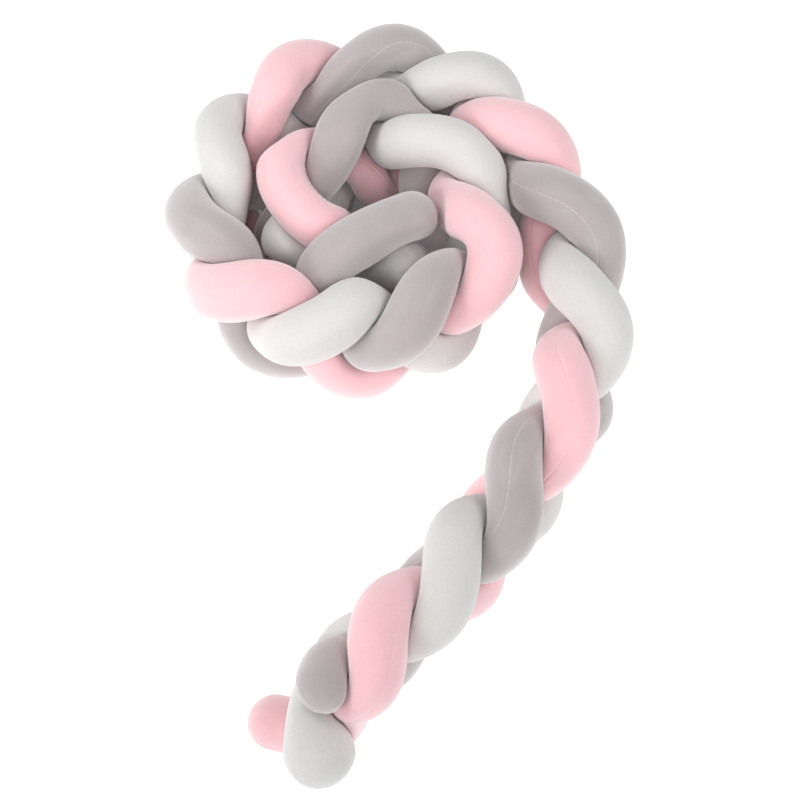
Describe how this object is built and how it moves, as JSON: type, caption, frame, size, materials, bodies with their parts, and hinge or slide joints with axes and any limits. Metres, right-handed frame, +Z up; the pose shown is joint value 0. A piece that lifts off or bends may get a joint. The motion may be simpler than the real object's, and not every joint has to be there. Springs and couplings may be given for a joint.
{
  "type": "crib bumper",
  "caption": "Plaited padded bumper of stuffed velvet tubes that lines a cot's sides, standing on edge in a loose coil with its tail drawn out.",
  "frame": {"origin": "on the floor, under the middle of the box round the whole piece", "axes": "+Z up, along the plait's upright width; +Y from the loose tail's end towards the coil"},
  "size_m": [0.341, 0.5584, 0.1218],
  "materials": {
    "velvet_white": "short soft pile",
    "velvet_grey": "short soft pile",
    "velvet_pink": "short soft pile"
  },
  "bodies": {
    "root": {"tube_white": "velvet_white", "tube_grey": "velvet_grey", "tube_pink": "velvet_pink"}
  },
  "joints": []
}
